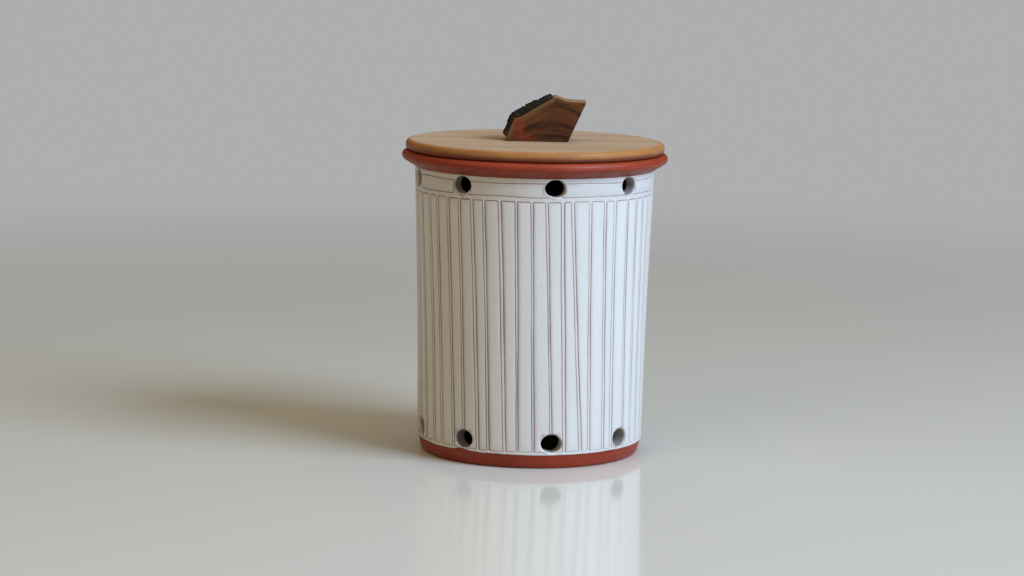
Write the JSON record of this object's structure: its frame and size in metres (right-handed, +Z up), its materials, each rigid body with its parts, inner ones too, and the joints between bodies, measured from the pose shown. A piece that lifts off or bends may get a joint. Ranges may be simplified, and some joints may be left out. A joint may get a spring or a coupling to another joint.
{
  "type": "ventilated storage jar",
  "caption": "Round terracotta jar with a white incised glaze coat, vents round its wall at top and bottom, and a lift-off wooden lid with a branch-wood knob.",
  "frame": {"origin": "centre of the foot, on the surface that the jar stands on", "axes": "+Z up along the jar's axis; -Y towards the front, which shows the knob's sawn face; +X to the right, towards the knob's bare end"},
  "size_m": [0.15, 0.15, 0.2024],
  "materials": {
    "terracotta": "satin bare red clay, smooth from the wheel",
    "white_glaze": "semi-gloss white with mauve-brown incised lines",
    "pale_wood": "planed and lightly oiled, fine straight grain, warmer sanded edge",
    "pale_wood_underside": "planed, bare",
    "dark_wood": "sawn and oiled, dark red-brown figure with paler sapwood",
    "bark": "rough black bark",
    "zinc_steel": "bright zinc"
  },
  "bodies": {
    "jar": {"jar_body": "terracotta", "slip_coat": "white_glaze"},
    "lid": {"lid_board": "pale_wood", "lid_spigot": "pale_wood_underside", "knob_wood": "dark_wood", "knob_bark": "bark", "knob_screw_left": "zinc_steel", "knob_screw_right": "zinc_steel"}
  },
  "joints": [
    {"name": "lid_lift", "type": "slide", "parent": "jar", "child": "lid", "axis": [0, 0, 1], "range_m": [0, 0.1]}
  ]
}
